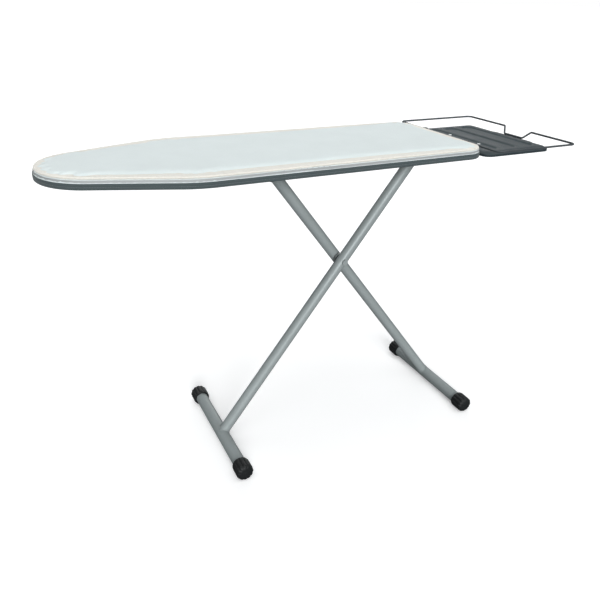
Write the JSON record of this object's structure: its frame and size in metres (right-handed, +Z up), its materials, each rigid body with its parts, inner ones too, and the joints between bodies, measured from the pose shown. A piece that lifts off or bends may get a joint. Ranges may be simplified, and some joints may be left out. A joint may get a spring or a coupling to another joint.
{
  "type": "ironing board",
  "caption": "Free-standing ironing board: padded tapered top on two crossed folding tube legs, with an iron tray and wire guard at the heel.",
  "frame": {"origin": "on the floor, under the middle of the whole object's box, with the legs open", "axes": "+Z up; +X along the board from the nose to the iron tray; +Y across the board"},
  "size_m": [1.536, 0.502, 0.95],
  "materials": {
    "cover_cotton": "pale grey-white woven cotton, matt",
    "band_cloth": "grey-green woven side band with a seam, matt",
    "pad_foam": "felted foam underlay, matt",
    "deck_steel": "light grey baked enamel, satin",
    "leg_paint": "silver-grey metallic powder paint, satin",
    "foot_rubber": "near-black moulded rubber, matt, ribbed",
    "zinc_steel": "bright zinc plate",
    "tray_enamel": "grey-green powder coat, semi-matt",
    "guard_paint": "dark grey powder coat, satin",
    "moulded_grey": "dark moulded nylon, fine texture",
    "arm_nylon": "grey-green moulded nylon, fine texture",
    "bush_plastic": "dark grey acetal, smooth"
  },
  "bodies": {
    "board": {"deck_rim": "deck_steel", "deck_mesh": "deck_steel", "deck_rib_right": "deck_steel", "deck_rib_left": "deck_steel", "pad": "pad_foam", "cover_top": "cover_cotton", "cover_band": "band_cloth", "pivot_bracket": "deck_steel", "pivot_bolt": "zinc_steel", "pivot_nut": "zinc_steel", "guide_rod": "zinc_steel", "guide_rod_hangers": "deck_steel", "rest_tray": "tray_enamel", "rest_handle": "guard_paint", "handle_clamps": "moulded_grey", "heel_cross_member": "deck_steel", "rest_arm_right": "arm_nylon", "rest_arm_left": "arm_nylon", "arm_rivets": "zinc_steel", "guard_wire": "guard_paint", "guard_clips": "moulded_grey", "latch_bracket": "deck_steel", "latch_pin": "zinc_steel", "member_rivets": "zinc_steel"},
    "nose_leg": {"nose_leg_tube": "leg_paint", "nose_leg_plug": "moulded_grey", "nose_leg_top_bush": "bush_plastic", "nose_leg_cross_bush": "bush_plastic", "nose_leg_foot_bar": "leg_paint", "nose_leg_foot_cap_right": "foot_rubber", "nose_leg_foot_cap_left": "foot_rubber", "cross_bolt": "leg_paint", "cross_nut": "leg_paint", "cross_spacer": "bush_plastic"},
    "heel_leg": {"heel_leg_tube": "leg_paint", "heel_leg_plug": "moulded_grey", "heel_leg_top_bush": "bush_plastic", "heel_leg_cross_bush": "bush_plastic", "heel_leg_foot_bar": "leg_paint", "heel_leg_foot_cap_right": "foot_rubber", "heel_leg_foot_cap_left": "foot_rubber"},
    "carriage": {"carriage": "moulded_grey", "carriage_pin": "zinc_steel", "lever_spring": "zinc_steel"},
    "height_lever": {"lever_shaft": "zinc_steel", "lever_grip": "moulded_grey"},
    "lock_plates": {"lock_plates": "zinc_steel"},
    "latch": {"latch_hook": "moulded_grey"}
  },
  "joints": [
    {"name": "leg_fold", "type": "hinge", "parent": "board", "child": "nose_leg", "pos_m": [0.327, 0, 0.878], "axis": [0, 1, 0], "range_deg": [0, 52.55]},
    {"name": "leg_cross", "type": "hinge", "parent": "nose_leg", "child": "heel_leg", "pos_m": [0.09439, 0, 0.57435], "axis": [0, 1, 0], "range_deg": [-105.1, 0]},
    {"name": "carriage_level", "type": "hinge", "parent": "heel_leg", "child": "carriage", "pos_m": [-0.13821, 0, 0.878], "axis": [0, 1, 0], "range_deg": [0, 52.56]},
    {"name": "lever_squeeze", "type": "hinge", "parent": "carriage", "child": "height_lever", "pos_m": [-0.15621, 0, 0.91], "axis": [0, 1, 0], "range_deg": [0, 12], "stiffness_Nm_per_rad": 2, "springref_deg": -11.46},
    {"name": "plate_release", "type": "hinge", "parent": "carriage", "child": "lock_plates", "pos_m": [-0.13821, 0, 0.91], "axis": [0, 1, 0], "range_deg": [-8, 0]},
    {"name": "latch_swing", "type": "hinge", "parent": "board", "child": "latch", "pos_m": [-0.008, -0.052, 0.915], "axis": [1, 0, 0], "range_deg": [0, 90]}
  ],
  "couplings": [
    {"joint": "leg_cross", "follows": "leg_fold", "ratio": -2},
    {"joint": "carriage_level", "follows": "leg_fold", "ratio": 1},
    {"joint": "plate_release", "follows": "lever_squeeze", "ratio": -0.66}
  ]
}
